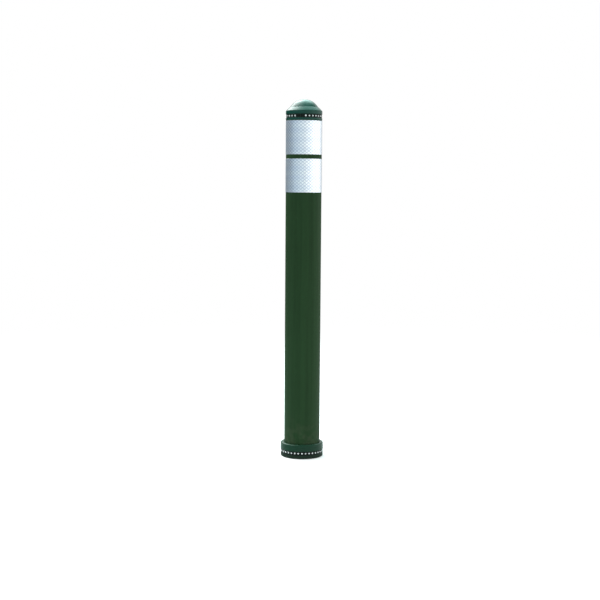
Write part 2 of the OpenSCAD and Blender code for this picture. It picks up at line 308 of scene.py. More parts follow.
class Shading:
    """A node tree being built."""

    def __init__(self, owner):
        owner.use_nodes = True
        self.tree = owner.node_tree
        self.tree.nodes.clear()

    def node(self, kind, settings=None, sockets=None, output=0):
        """Adds a node with its settings and its sockets' values or links. Gives one of its outputs."""
        made = self.tree.nodes.new("ShaderNode" + kind)
        for key, value in (settings or {}).items():
            setattr(made, key, value)
        for key, value in (sockets or {}).items():
            self.put(made.inputs[key], value)
        return None if output is None else Signal(self, made.outputs[output])

    def put(self, socket, value):
        """Links a signal to a socket, or sets the socket's own value."""
        if isinstance(value, Signal):
            self.tree.links.new(value.socket, socket)
        else:
            socket.default_value = value

    def place(self):
        """The point on the piece, in metres."""
        return self.node("TexCoord", output="Object")

    def kept(self, name):
        """The vector that the piece holds under name."""
        return self.node("Attribute", {"attribute_name": name}, output="Vector")

    def noise(self, vector, scale, detail=3.0, roughness=0.5):
        """Soft noise about 0.5. The scale is one number, or one for each axis."""
        if isinstance(scale, tuple):
            vector = self.node("VectorMath", {"operation": "MULTIPLY"}, {0: vector, 1: scale})
            scale = 1.0
        sockets = {"Vector": vector, "Scale": scale, "Detail": detail, "Roughness": roughness}
        return self.node("TexNoise", {}, sockets)

    def axis(self, vector, which):
        """One axis of a vector: X, Y or Z."""
        return self.node("SeparateXYZ", {}, {0: vector}, which)

    def rise(self, signal, low, high):
        """0 below low and 1 above high, smoothly between. With low above high it falls instead."""
        if low > high:
            return 1 - self.rise(signal, high, low)
        return self.node("MapRange", {"interpolation_type": "SMOOTHSTEP"},
                         {"Value": signal, "From Min": low, "From Max": high})

    def mix(self, share, first, second):
        """The first colour where share is 0, the second where it is 1."""
        return self.node("Mix", {"data_type": "RGBA"}, {0: share, 6: first, 7: second}, 2)

    def bump(self, height, distance, strength=1.0, under=None):
        """A bumped normal. The height is in units of distance, in metres."""
        sockets = {"Strength": strength, "Distance": distance, "Height": height}
        if under is not None:
            sockets["Normal"] = under
        return self.node("Bump", {}, sockets)


class Finish(Shading):
    """A material being built, with one Principled shader."""

    def __init__(self, name):
        self.material = bpy.data.materials.new(name)
        super().__init__(self.material)
        self.shader = self.tree.nodes.new("ShaderNodeBsdfPrincipled")
        self.node("OutputMaterial", {}, {0: Signal(self, self.shader.outputs[0])}, None)

    def set(self, **values):
        """Sets the shader's sockets, each named with _ for a space."""
        for key, value in values.items():
            self.put(self.shader.inputs[key.replace("_", " ")], value)
        return self.material


def shade(colour, factor):
    """A colour made lighter or darker, as four numbers for a socket."""
    return (*[min(1.0, c * factor) for c in colour[:3]], 1.0)


def moulded_rubber(name, colour, roughness):
    """Soft matt elastomer: slow mottling, faint upright flow lines, fine grain and a little dust low
    down. It reads the rest place that the piece keeps."""
    f = Finish(name)
    place = f.kept("rest")
    mottle = f.noise(place, 9, 4, 0.6)
    flow = f.noise(place, (260, 260, 5), 2)
    streak = f.rise(f.noise(place, (85, 85, 1.6), 2), 0.3, 0.7)
    grain = f.noise(place, 1500, 2)
    scuff = f.rise(f.noise(place, (30, 30, 160), 6, 0.7), 0.66, 0.74)
    dust = f.rise(f.noise(place, 60, 5, 0.65), 0.42, 0.62)
    low = f.rise(f.axis(place, "Z"), 0.11, 0.03) * dust
    base = f.mix(mottle, shade(colour, 0.72), shade(colour, 1.06))
    base = f.mix(streak * 0.5, base, shade(colour, 1.35))
    base = f.mix(f.rise(flow, 0.35, 0.75) * 0.2, base, shade(colour, 1.5))
    base = f.mix(scuff * 0.12, base, (0.16, 0.19, 0.15, 1.0))
    base = f.mix(low * 0.1, base, (0.14, 0.13, 0.1, 1.0))
    rough = (mottle - 0.5) * 0.12 + flow * 0.08 + scuff * 0.12 + low * 0.15 + (roughness - 0.04)
    normal = f.bump(flow, 0.0003, 0.25)
    normal = f.bump(grain, 0.00012, 0.35, normal)
    return f.set(Base_Color=base, Roughness=rough, Normal=normal, Specular_IOR_Level=0.06)


def moulded_plastic(name, colour, roughness, grain_size=0.0009, gloss=0.4, worn=0.1):
    """Hard moulded plastic: slight mottling, a fine grain, swirls and worn specks."""
    f = Finish(name)
    place = f.place()
    mottle = f.noise(place, 38, 4, 0.6)
    grain = f.noise(place, 1 / grain_size, 2.0)
    swirl = f.noise(place, (40, 40, 420), 3, 0.6)
    speck = f.rise(f.noise(place, 210, 5, 0.75), 0.64, 0.72)
    base = f.mix(mottle, shade(colour, 0.88), shade(colour, 1.12))
    base = f.mix(speck * worn, base, shade(colour, 2.6))
    rough = (mottle - 0.5) * 0.1 + (swirl - 0.5) * 0.16 + speck * 0.12 + roughness
    normal = f.bump(grain, grain_size * 0.12, 0.3)
    return f.set(Base_Color=base, Roughness=rough, Normal=normal, Specular_IOR_Level=gloss)


def prismatic_sheet(name, s):
    """Retroreflective sheet: diamond cells sealed under a clear film. Two families of slanting lines
    bound the cells; inside a cell, fine ridges run one way or the other in turn."""
    f = Finish(name)
    uv = f.node("UVMap", {"uv_map": "wrap"})
    across, along = f.axis(uv, "X") / s.cell_width, f.axis(uv, "Y") / s.cell_height
    rising, falling = across + along, across - along
    edge = rising.math("PINGPONG", 0.5).math("MINIMUM", falling.math("PINGPONG", 0.5))
    seam = f.rise(edge, 0.15, 0.06)
    parity = (rising.math("FLOOR") + falling.math("FLOOR")).math("MODULO", 2.0).math("ABSOLUTE")
    ridge_a = (rising * 9.0).math("PINGPONG", 0.5)
    ridge_b = (falling * 9.0).math("PINGPONG", 0.5)
    ridge = ridge_a * parity + ridge_b * (1 - parity)
    cloud = f.noise(uv, 26, 3, 0.55)
    wave = f.noise(uv, (18, 60, 1), 2)
    base = f.mix(f.rise(ridge, 0.05, 0.45) * 0.35, s.colour, shade(s.colour, 0.72))
    base = f.mix(cloud * 0.16, base, (0.62, 0.72, 0.86, 1.0))
    base = f.mix(parity * 0.14, base, shade(s.colour, 0.8))
    band = f.rise((along / 3.0).math("PINGPONG", 0.5), 0.12, 0.38)
    base = f.mix(band * 0.35, base, (0.60, 0.68, 0.80, 1.0))
    base = f.mix(seam * 0.85, base, s.seam_colour)
    rough = seam * 0.2 + (cloud - 0.5) * 0.12 + 0.3
    metal = (1 - seam) * 0.6 + 0.32
    normal = f.bump(ridge, 0.00006, 0.5)
    normal = f.bump(seam, 0.00008, 0.6, normal)
    normal = f.bump(wave, 0.0012, 0.3, normal)
    return f.set(Base_Color=base, Roughness=rough, Metallic=metal, Normal=normal,
                 Coat_Weight=0.6, Coat_Roughness=0.08)


def ball_glass(name, colour):
    """Clear glass with a trace of bubbles."""
    f = Finish(name)
    bubbles = f.noise(f.place(), 900, 2)
    base = f.mix(bubbles, shade(colour, 0.94), colour)
    return f.set(Base_Color=base, Roughness=bubbles * 0.06 + 0.02, Transmission_Weight=0.45, IOR=1.52)


def plated_metal(name, colour, tint, roughness, brushed=0.0):
    """Plated or drawn metal: soft clouds of tint, fine scratches and dull spots."""
    f = Finish(name)
    place = f.place()
    cloud = f.noise(place, 70, 4, 0.6)
    scratch = f.noise(place, (900, 900, 60), 3, 0.6)
    spot = f.rise(f.noise(place, 330, 4, 0.7), 0.62, 0.74)
    base = f.mix(f.rise(cloud, 0.35, 0.7) * 0.7, colour, tint)
    base = f.mix(spot * 0.3, base, shade(colour, 0.55))
    rough = (cloud - 0.5) * 0.14 + scratch * brushed + spot * 0.15 + roughness
    normal = f.bump(scratch, 0.00006, 0.4)
    return f.set(Base_Color=base, Roughness=rough, Normal=normal, Metallic=1.0)


# ---- settings ----

def kind(prop, **rest):
    """A kind of property: a function of a setting's name, description and default."""
    return lambda name, about, default: prop(name=name, description=about, default=default, **rest)


length = kind(bpy.props.FloatProperty, min=0.0, unit="LENGTH", precision=5)
turn = kind(bpy.props.FloatProperty, unit="ROTATION")
share = kind(bpy.props.FloatProperty, min=0.0, max=1.0, subtype="FACTOR")
power = kind(bpy.props.FloatProperty, min=2.0)
focal = kind(bpy.props.FloatProperty, unit="CAMERA")
tint = kind(bpy.props.FloatVectorProperty, min=0.0, max=1.0, subtype="COLOR", size=4)
count = kind(bpy.props.IntProperty, min=1)


class TubeSettings(bpy.types.PropertyGroup):
    """The soft tube."""
    flange: length("Flange", "Thickness of the flange at the foot of the tube", 0.005)
    bend_step: length("Ring spacing", "Distance between rings of points where it bends", 0.002)
    colour: tint("Colour", "Colour of the tube", (0.0125, 0.0335, 0.0125, 1.0))
    roughness: share("Roughness", "Roughness of the tube", 0.56)


class SheetSettings(bpy.types.PropertyGroup):
    """The reflective sheets."""
    lap: length("Lap", "How far a sheet's end laps over its start", 0.012)
    lap_angle: turn("Lap direction", "Direction that the lap faces", math.radians(82))
    cell_width: length("Cell width", "Width of a diamond cell", 0.0088)
    cell_height: length("Cell height", "Height of a diamond cell", 0.00704)
    colour: tint("Colour", "Colour of the cells", (0.90, 0.95, 0.97, 1.0))
    seam_colour: tint("Seam colour", "Colour of the seams between cells", (0.34, 0.42, 0.52, 1.0))


class CapSettings(bpy.types.PropertyGroup):
    """The two halves of the cap."""
    wall: length("Wall", "Thickness of the cap's walls", 0.0032)
    shoulder_height: length("Shoulder height", "Height of the sloping shoulder", 0.0084)
    shoulder_width: length("Shoulder width", "Width of the sloping shoulder", 0.008)
    ledge: length("Ledge", "Width of the ledge under the crown", 0.001)
    crown_height: length("Crown height", "Height of the crown above its ledge", 0.017)
    fullness: power("Crown fullness", "2 makes a bowl, and more keeps its middle flatter", 2.6)
    boss: length("Boss wall", "Wall round a screw in the cap", 0.002)
    colour: tint("Colour", "Colour of the cap", (0.0070, 0.046, 0.034, 1.0))
    roughness: share("Roughness", "Roughness of the cap", 0.26)


class BaseSettings(bpy.types.PropertyGroup):
    """The collar, the foot and the core inside the tube."""
    lip: length("Lip radius", "Radius of the collar's rounded lip", 0.003)
    draft: length("Draft", "How much slimmer the collar is at its lip", 0.0008)
    foot_edge: length("Foot edge", "Radius of the foot's lower edge", 0.0026)
    core_bevel: length("Core bevel", "Bevel on the core's upper edge", 0.003)
    collar_colour: tint("Collar colour", "Colour of the collar", (0.0060, 0.030, 0.0160, 1.0))
    foot_colour: tint("Foot colour", "Colour of the foot", (0.0125, 0.0240, 0.0165, 1.0))
    core_colour: tint("Core colour", "Colour of the core", (0.018, 0.018, 0.02, 1.0))


class BeadSettings(bpy.types.PropertyGroup):
    """The glass beads, their strips and the foil behind them."""
    cap_places: count("Cap places", "Places for a bead round the cap", 30)
    base_places: count("Base places", "Places for a bead round the base", 36)
    blank: count("Plain places", "Places left plain where a strip's ends meet", 2)
    cap_joint: turn("Cap joint", "Direction of the joint in the cap's strip", math.radians(-102.6))
    base_joint: turn("Base joint", "Direction of the base strip's joint", math.radians(95.5))
    rim: length("Rim", "Radius of the rounded rim of a window", 0.00035)
    split: length("Split", "Gap between the ends of a strip", 0.0006)
    strip_colour: tint("Strip colour", "Colour of the strips", (0.006, 0.010, 0.008, 1.0))
    glass_colour: tint("Glass colour", "Colour of the glass", (0.92, 0.96, 0.95, 1.0))


class SteelSettings(bpy.types.PropertyGroup):
    """The anchor and the screws."""
    thread_pitch: length("Anchor pitch", "Pitch of the anchor thread", 0.002)
    plate_edge: length("Plate edge", "Bevel on the edge of the plate", 0.0004)
    zinc: tint("Zinc", "Colour of zinc plating", (0.56, 0.58, 0.62, 1.0))
    steel: tint("Stainless steel", "Colour of stainless steel", (0.60, 0.59, 0.57, 1.0))


class StageSettings(bpy.types.PropertyGroup):
    """The floor and the camera."""
    distance: length("Distance", "Distance from the camera to the post's axis", 2.6914)
    height: length("Height", "Height of the camera above the ground", 0.6076)
    aside: length("Aside", "How far the camera stands to the left of the axis", 0.0063)
    pitch: turn("Pitch", "How far the camera looks down", math.radians(5.384))
    roll: turn("Roll", "How far the camera is rolled", math.radians(0.40))
    lens: focal("Lens", "Focal length of the camera", 72.11)
    floor_colour: tint("Floor", "Colour of the floor", (0.62, 0.63, 0.63, 1.0))


WHITE, PALE, COOL = (1.0, 1.0, 1.0), (0.96, 1.0, 1.0), (0.84, 0.98, 1.10)
BLUE, SKY = (0.60, 0.88, 1.25), (0.66, 1.00, 0.96)
SOFT_BOXES = {  # degrees: bearing, climb, where it ends, where it is full; then strength and colour
    "left": (-75, 10, 50, 12, 0.13, BLUE),
    "front left": (-35, 10, 50, 12, 0.50, COOL),
    "front": (5, 10, 50, 12, 0.50, PALE),
    "front right": (45, 10, 50, 12, 0.96, WHITE),
    "right": (85, 10, 50, 12, 1.20, WHITE),
    "right behind": (125, 10, 50, 12, 0.90, WHITE),
    "behind": (180, 36, 42, 10, 1.20, WHITE),
    "top": (180, 57, 33, 14, 8.00, SKY),
    "above": (0, 88, 36, 4, 2.60, SKY),
    "high left": (-80, 54, 36, 8, 4.80, WHITE),
    "key": (-142, 46, 32, 10, 10.5, WHITE),
}

GROUPS = {"delineator_" + name: group for name, group in (
    ("tube", TubeSettings), ("sheet", SheetSettings), ("cap", CapSettings), ("base", BaseSettings),
    ("bead", BeadSettings), ("steel", SteelSettings), ("stage", StageSettings))}


# ---- pieces ----

class DELINEATOR_OT_tube(bpy.types.Operator):
    """Build the soft tube: the stretch that bends first, and the rest of it"""
    bl_idname = "delineator.tube"
    bl_label = "Tube"

    def execute(self, context):
        s = context.scene.delineator_tube
        rubber = moulded_rubber("tube_elastomer", s.colour, s.roughness)
        flange_in, outer, low, split = measure("tube_flex_section")
        bore, _, _, top = measure("post_tube")
        circle, _ = circle_of("core_screws")
        shank = shank_radius("core_screws") + LOOSE
        flange_top, bend_top = low + s.flange, UPPER_BEND + HALF_FLEX
        rim, long_step = 0.0004, 0.03

        def upright(radius, start, end):
            return turned(divided(np.array([(radius, start), (radius, end)]), s.bend_step))

        holes = Holes(4, circle, flange_in, bore)
        lower = welded(
            upright(outer, low, split), turned([(outer, split), (bore, split)]),
            upright(bore, split, flange_top),
            holes.face(flange_in, bore, flange_top, shank, up=True),
            turned([(flange_in, flange_top), (flange_in, low)]),
            holes.face(flange_in, bore, low, shank, up=False),
            turned([(bore, low), (outer, low)]),
            holes.wall([(shank, flange_top), (shank, low)]))
        straight = rounded([(outer, bend_top, 0), (outer, top, rim),
                            (bore, top, rim), (bore, bend_top, 0)])
        upper = welded(upright(outer, split, bend_top), turned(divided(straight, long_step)),
                       upright(bore, bend_top, split), turned([(bore, split), (outer, split)]))
        spans = {"tube_lower": (lower, "tube_flex_section", "base", "flex", LOWER_BEND),
                 "tube_upper": (upper, "post_tube", "flex", "post", UPPER_BEND)}
        for name, (surface, node, below, above, bend) in spans.items():
            piece = add_piece(name, surface, "tube_elastomer", node, None, rubber)
            rest = piece.data.attributes.new("rest", "FLOAT_VECTOR", "POINT")
            rest.data.foreach_set("vector", surface[0][:, :3].astype(np.float32).ravel())
            bend - HALF_FLEX
            bend + HALF_FLEX
            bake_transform(piece)
        return {"FINISHED"}


class DELINEATOR_OT_sheets(bpy.types.Operator):
    """Wrap the two reflective sheets round the tube, each lapped over its own start"""
    bl_idname = "delineator.sheets"
    bl_label = "Reflective sheets"

    def execute(self, context):
        s = context.scene.delineator_sheet
        film = prismatic_sheet("reflective_sheet", s)
        for where in ("lower", "upper"):
            node = where + "_reflective_sheet"
            points, *faces = self.wrap(s, *measure(node))
            piece = add_piece(where + "_sheet_wrap", (points, *faces), "reflective_sheet", node, "post",
                              film)
            layer = piece.data.uv_layers.new(name="wrap")
            for loop, place in zip(piece.data.loops, layer.data):
                place.uv = points[loop.vertex_index, 3:]
        return {"FINISHED"}

    def wrap(self, s, inner, outer, low, high):
        """A thin section carried once round the tube and a lap further. Its radius rises smoothly by its
        own thickness, over a short ramp before the lap, so that the end lies on the start. After x, y
        and z, each point has its place on the sheet laid flat, in metres along and across it."""
        thick, glue, edge, ramp = outer - inner, 0.00004, 0.00012, 0.004
        lap_steps, row_step = 6, 0.02
        face = rounded([(0, low, 0), (thick, low, edge), (thick, high, edge), (0, high, 0)], 3)
        face = divided(face, row_step)
        section = np.vstack([face, (face * (0, 1))[::-1], face[:1]])
        round_once = FULL_TURN * outer
        on = s.lap * np.arange(1, lap_steps + 1) / lap_steps
        path = np.append(np.arange(0, round_once, round_once / TURNS), round_once + on)
        lift = np.clip((path - (round_once - ramp)) / ramp, 0, 1)
        lift = lift * lift * (3 - 2 * lift) * (thick + glue)
        angle = s.lap_angle - s.lap / 2 / outer + path / outer
        radius = inner + section[:, :1].T + lift[:, None]
        level = section[:, 1] + 0 * radius
        points = np.stack([radius * np.cos(angle)[:, None], radius * np.sin(angle)[:, None], level,
                           path[:, None] + 0 * radius, level - low], -1)
        body = (points.reshape(-1, 5), grid_quads(*radius.shape, wrap=False)[:, ::-1])
        front = np.arange(len(face) - 1)
        back = 2 * len(face) - 1 - front
        end = np.stack([front, front + 1, back - 1, back], 1)
        return welded(body, (points[0], end), (points[-1], end[:, ::-1]))


def bosses(count, circle, wall, hole, low, high, blind=None):
    """Upright tubes on a circle, each closed, with a hole through it or a blind one from below."""
    outside = [(hole, low), (wall, low), (wall, high)]
    if blind is None:
        outline = [*outside, (hole, high), (hole, low)]
    else:
        outline = [(0, blind), (hole, blind), *outside, (0, high)]
    return copied_round(turned(outline, SIDES), middles(count), circle)


class DELINEATOR_OT_cap(bpy.types.Operator):
    """Build the two halves of the cap and the seal between cap and tube"""
    bl_idname = "delineator.cap"
    bl_label = "Cap"

    def execute(self, context):
        s = context.scene.delineator_cap
        plastic = moulded_plastic("cap_plastic", s.colour, s.roughness, gloss=0.15)
        seal_rubber = moulded_plastic("seal_rubber", (0.012, 0.012, 0.013), 0.62, 0.0005, worn=0.03)
        plug_in, rim, low, hub_top = measure("cap_plug_ring")
        groove, _, slot_low, _ = measure("cap_bead_foil")
        tube_top = measure("post_tube")[3]
        seal_in, seal_out, seal_low, seal_high = measure("cap_seal")
        seal_r, seal_z = (seal_out - seal_in) / 2, (seal_low + seal_high) / 2
        lip, fine, floor_drop, boss_drop, boss_roof = 0.0007, 0.0004, 0.0006, 0.004, 0.0039
        groove, slot_low = groove - PLAY, slot_low - PLAY
        seal_wall, seal_floor, seal_roof = seal_in - PLAY, seal_low - PLAY, seal_high + PLAY
        plug, hub = plug_in + s.wall, groove - s.wall
        lower = rounded([
            (plug_in, low, 0), (plug, low, SOFT_EDGE), (plug, seal_floor, 0),
            (seal_wall, seal_floor, 0), (seal_wall, seal_roof, 0), (plug, seal_roof, 0),
            (plug, tube_top, 0), (rim, tube_top, lip), (rim, slot_low, CRISP_EDGE),
            (groove, slot_low, 0), (groove, hub_top, 0),
            (hub, hub_top, fine), (hub, slot_low - floor_drop, SOFT_EDGE),
            (plug_in, tube_top, SOFT_EDGE), (plug_in, low, 0)], 5)
        circle, _ = circle_of("cap_screws")
        screw = shank_radius("cap_screws")
        boss = screw + s.boss
        lower = welded(turned(lower),
                       bosses(4, circle, boss, screw + WIDE_PLAY, tube_top, hub_top - SLIP))
        _, _, dome_low, dome_top = measure("cap_dome")
        boss_top = dome_top - s.crown_height - boss_drop
        upper = welded(turned(self.dome(s, rim, hub, dome_low, dome_top)),
                       bosses(4, circle, boss, screw + PLAY, dome_low + SLIP, boss_top,
                              boss_top - boss_roof))
        a = np.linspace(0, FULL_TURN, 25)
        ring = np.stack([seal_in + seal_r * (1 + np.cos(a)), seal_z + seal_r * np.sin(a)], 1)
        add_piece("cap_lower_half", lower, "cap_plastic", "cap_plug_ring", "post", plastic)
        add_piece("cap_upper_half", upper, "cap_plastic", "cap_dome", "post", plastic)
        seal = welded(turned(ring))
        add_piece("cap_seal_ring", seal, "seal_rubber", "cap_seal", "post", seal_rubber)
        return {"FINISHED"}

    def dome(self, s, rim, bore, low, top):
        """The upper half's outline: rim, shoulder, ledge, and a crown that falls away from its middle,
        z = top - height * (r / edge) ** fullness; then the same inside, one wall smaller."""
        step = top - s.crown_height
        shoulder = step - s.shoulder_height
        ledge = rim - s.shoulder_width
        edge = ledge - s.ledge
        share = np.sin(np.linspace(np.pi / 2, 0, 33))[:, None]
        fall = s.crown_height * share ** s.fullness
        round_rim, round_ledge, drop, crease = 0.003, 0.0022, 0.0003, 0.0001
        outside = rounded([
            (bore, low, 0), (rim, low, CRISP_EDGE), (rim, shoulder, round_rim),
            (ledge, step - drop, round_ledge), (edge + crease, step - drop - crease, 0)])
        crown = np.hstack([edge * share, top - fall])
        under = np.hstack([(edge - s.wall) * share, top - s.wall - fall])[::-1]
        return np.vstack([outside, crown, under, [(bore, shoulder - s.wall / 2), (bore, low)]])


def drilled_ring(outline, screws, count, bore, rim, low):
    """A turned ring with blind holes up from below for a set of screws."""
    hole = shank_radius(screws) + PLAY
    blind = measure(screws)[3] + BLIND
    holes = Holes(count, circle_of(screws)[0], bore, rim)
    return welded(turned(outline), holes.face(bore, rim, low, hole, up=False),
                  holes.wall([(0, blind), (hole, blind), (hole, low)]))


class DELINEATOR_OT_base(bpy.types.Operator):
    """Build the collar, the foot and the core that grips the tube's flange"""
    bl_idname = "delineator.base"
    bl_label = "Collar, foot and core"

    def execute(self, context):
        s = context.scene.delineator_base
        self.collar(s)
        self.foot(s)
        self.core(s)
        return {"FINISHED"}

    def collar(self, s):
        """A ring with a rounded lip, a groove for the bead strip and blind holes up from below."""
        bore, rim, low, top = measure("base_collar")
        groove, _, _, slot_top = measure("base_bead_foil")
        groove, slot_top = groove - PLAY, slot_top + PLAY
        slot_edge, ring_step = 0.0006, 0.006
        outline = rounded([
            (groove, low, 0), (groove, slot_top, 0), (rim, slot_top, slot_edge),
            (rim - s.draft, top, s.lip), (bore, top, SOFT_EDGE), (bore, low, 0)], 10)
        surface = drilled_ring(divided(outline, ring_step), "collar_screws", 6, bore, groove, low)
        plastic = moulded_plastic("collar_plastic", s.collar_colour, 0.28, gloss=0.1, worn=0.12)
        add_piece("collar", surface, "collar_plastic", "base_collar", "base", plastic)

    def foot(self, s):
        """A disc with a recess below for the plate, and holes for two sets of screws."""
        _, rim, low, top = measure("foot_plate")
        _, plate_rim, _, ceiling = measure("anchor_plate")
        recess, well = plate_rim + LOOSE, measure("anchor_nut")[1] + LOOSE
        core_circle, _ = circle_of("core_screws")
        core_hole = shank_radius("core_screws") + WIDE_PLAY
        circle, head = circle_of("collar_screws")
        small = shank_radius("collar_screws") + WIDE_PLAY
        head += WIDE_PLAY
        screw_head, edge, almost = 0.0016, 0.0006, 0.999
        ledge, flat = measure("collar_screws")[2] + screw_head, rim - edge
        side = rounded([(rim - s.foot_edge, low, 0), (rim, low, s.foot_edge * almost),
                        (rim, top, edge), (flat, top, 0)], 8)
        inner, outer = Holes(4, core_circle, well, recess), Holes(6, circle, recess, flat)
        surface = welded(
            turned(side),
            outer.face(recess, flat, top, small, up=True),
            inner.face(well, recess, top, core_hole, up=True),
            turned([(well, top), (well, ceiling)]),
            inner.face(well, recess, ceiling, core_hole, up=False),
            inner.wall([(core_hole, top), (core_hole, ceiling)]),
            turned([(recess, ceiling), (recess, low)]),
            outer.face(recess, rim - s.foot_edge, low, head, up=False),
            outer.wall([(small, top), (small, ledge), (head, ledge), (head, low)]))
        plastic = moulded_plastic("foot_plastic", s.foot_colour, 0.5, gloss=0.04, worn=0.1)
        add_piece("foot", surface, "foot_plastic", "foot_plate", "base", plastic)

    def core(self, s):
        """A stiff ring with blind holes up from below and a bevelled upper edge."""
        bore, rim, low, top = measure("core_plug")
        bevel, edge = s.core_bevel, 0.0008
        outline = rounded([(rim, low, 0), (rim, top - bevel, edge), (rim - bevel, top, edge),
                           (bore, top, edge), (bore, low, 0)])
        surface = drilled_ring(outline, "core_screws", 4, bore, rim, low)
        nylon = moulded_plastic("core_nylon", s.core_colour, 0.5, 0.0006, worn=0.05)
        add_piece("core_ring", surface, "core_nylon", "core_plug", "base", nylon)


class DELINEATOR_OT_beads(bpy.types.Operator):
    """Build both bead strips, their glass beads and the foil behind them"""
    bl_idname = "delineator.beads"
    bl_label = "Beads and strips"

    def execute(self, context):
        s = context.scene.delineator_bead
        plastic = moulded_plastic("strip_plastic", s.strip_colour, 0.34, 0.0006, 0.06, 0.04)
        glass = ball_glass("bead_glass", s.glass_colour)
        mirror = plated_metal("mirror_foil", (0.86, 0.88, 0.9, 1.0), (0.8, 0.84, 0.86, 1.0), 0.12)
        mirrored = 0.25  # a ball is silvered from this share of its radius behind its middle
        for where, body, places, joint in (("cap", "post", s.cap_places, s.cap_joint),
                                           ("base", "base", s.base_places, s.base_joint)):
            beads, slotted, backing = (where + e for e in ("_beads", "_bead_strip", "_bead_foil"))
            ring, bead = circle_of(beads)
            used = joint + middles(places)[s.blank // 2:places - s.blank // 2]
            _, _, low, high = measure(beads)
            balls = copied_round(ball(bead), used, ring)
            balls[0][:, 2] += (low + high) / 2
            piece = add_piece(where + "_bead_set", welded(balls), "bead_glass", beads, body, glass, mirror)
            for face in piece.data.polygons:
                if math.hypot(*face.center[:2]) < ring - bead * mirrored:
                    face.material_index = 1
            strip = self.strip(s, measure(slotted), bead + PLAY, places, joint)
            add_piece(where + "_strip", strip, "strip_plastic", slotted, body, plastic)
            inner, outer, low, high = measure(backing)
            foil = turned([(inner, low), (outer, low), (outer, high), (inner, high), (inner, low)])
            add_piece(where + "_foil", welded(foil), "mirror_foil", backing, body, mirror)
        return {"FINISHED"}

    def strip(self, s, size, window, places, joint):
        """A strip of square cells, each with a window with a rounded rim. In a cell, loops of (angle,
        height, radius) run from the window's back edge forward, over the rim, out to the cell's edge,
        and in again behind. Cells at the joint have no window and end short of each other."""
        inner, outer, low, high = size
        half_width, half_height, middle = np.pi / places, (high - low) / 2, (low + high) / 2
        slit = s.split / 2 / outer
        phi = np.linspace(0, FULL_TURN, SIDES, endpoint=False)
        cos, sin = np.cos(phi), np.sin(phi)
        widest = np.maximum(np.abs(cos), np.abs(sin))
        u, v = cos / widest, sin / widest
        left, right = ((sign * u > 0.999) & (sign * np.roll(u, -1) > 0.999) for sign in (-1, 1))
        roll = np.linspace(0, np.pi / 2, 5)
        radii = np.concatenate([[window], window + s.rim * (1 - np.cos(roll))])[:, None]
        depths = np.concatenate([[inner], outer - s.rim * (1 - np.sin(roll))])[:, None]
        holed = np.stack([np.arcsin(radii * cos / depths), radii * sin, depths + 0 * cos], -1)
        plain = np.zeros((2, SIDES, 3)) + np.array([(0, 0, inner), (0, 0, outer)])[:, None]

        def cell(k):
            hole = holed if s.blank // 2 <= k < places - s.blank // 2 else plain
            first, last = k == 0, k == places - 1
            edge_angle = np.clip(half_width * u, first * slit - half_width, half_width - last * slit)
            edge = np.stack([edge_angle, half_height * v, outer + 0 * u], -1)
            behind = edge * (1, 1, 0) + (0, 0, inner)
            loops = np.stack([*hole, hole[-1] * 0.7 + edge * 0.3, edge, behind, hole[0]])
            angle = loops[..., 0] + joint + middles(places)[k]
            points = np.stack([loops[..., 2] * np.cos(angle), loops[..., 2] * np.sin(angle),
                               loops[..., 1] + middle], -1)
            quads = grid_quads(len(points), SIDES)[:, ::-1].reshape(-1, SIDES, 4)
            keep = np.ones(quads.shape[:2], bool)
            keep[-2] = ~((left & (not first)) | (right & (not last)))
            return points.reshape(-1, 3), quads[keep]

        return welded(*[cell(k) for k in range(places)])


def hexagon(flat, a):
    """A hexagon's radius in direction a: flat / cos(angle from a flat's middle)."""
    return flat / np.cos((a + np.pi / 6) % (np.pi / 3) - np.pi / 6)


def zigzag(z, a, pitch):
    """A helix's wave, from 1 to 0 and back in each pitch: |2 (z / pitch - a / turn) - 1|."""
    return 2 * np.abs((z / pitch - a / FULL_TURN) % 1 - 0.5)


def screw_surface(radius, low, high, head, socket_af, socket_depth, pitch):
    """A screw with its head down: a six-sided socket, the head's outline, and a shank whose radius
    dips along a helix."""
    socket_r, neck, groove, tip = socket_af / 2, head[-1][1], 0.3 * pitch, 0.0005
    shank = np.linspace(neck + 0.0002, high - tip, 120)
    socket_top = low + socket_depth
    outline = np.vstack([[(0, socket_top), (socket_r, socket_top), (socket_r, low), *head],
                         [(radius, neck)], np.stack([0 * shank + radius, shank], 1),
                         [(radius * 0.8, high), (0, high)]])

    def shape(r, z, a):
        threaded = (z > neck + 0.0003) & (z < high - WIDE_PLAY) & (r > radius * 0.99)
        r = np.where(threaded, r - zigzag(z, a, pitch) * groove, r)
        r[1:3] = hexagon(socket_r, a)[1:3]
        return r

    return turned(outline, 36, shape)


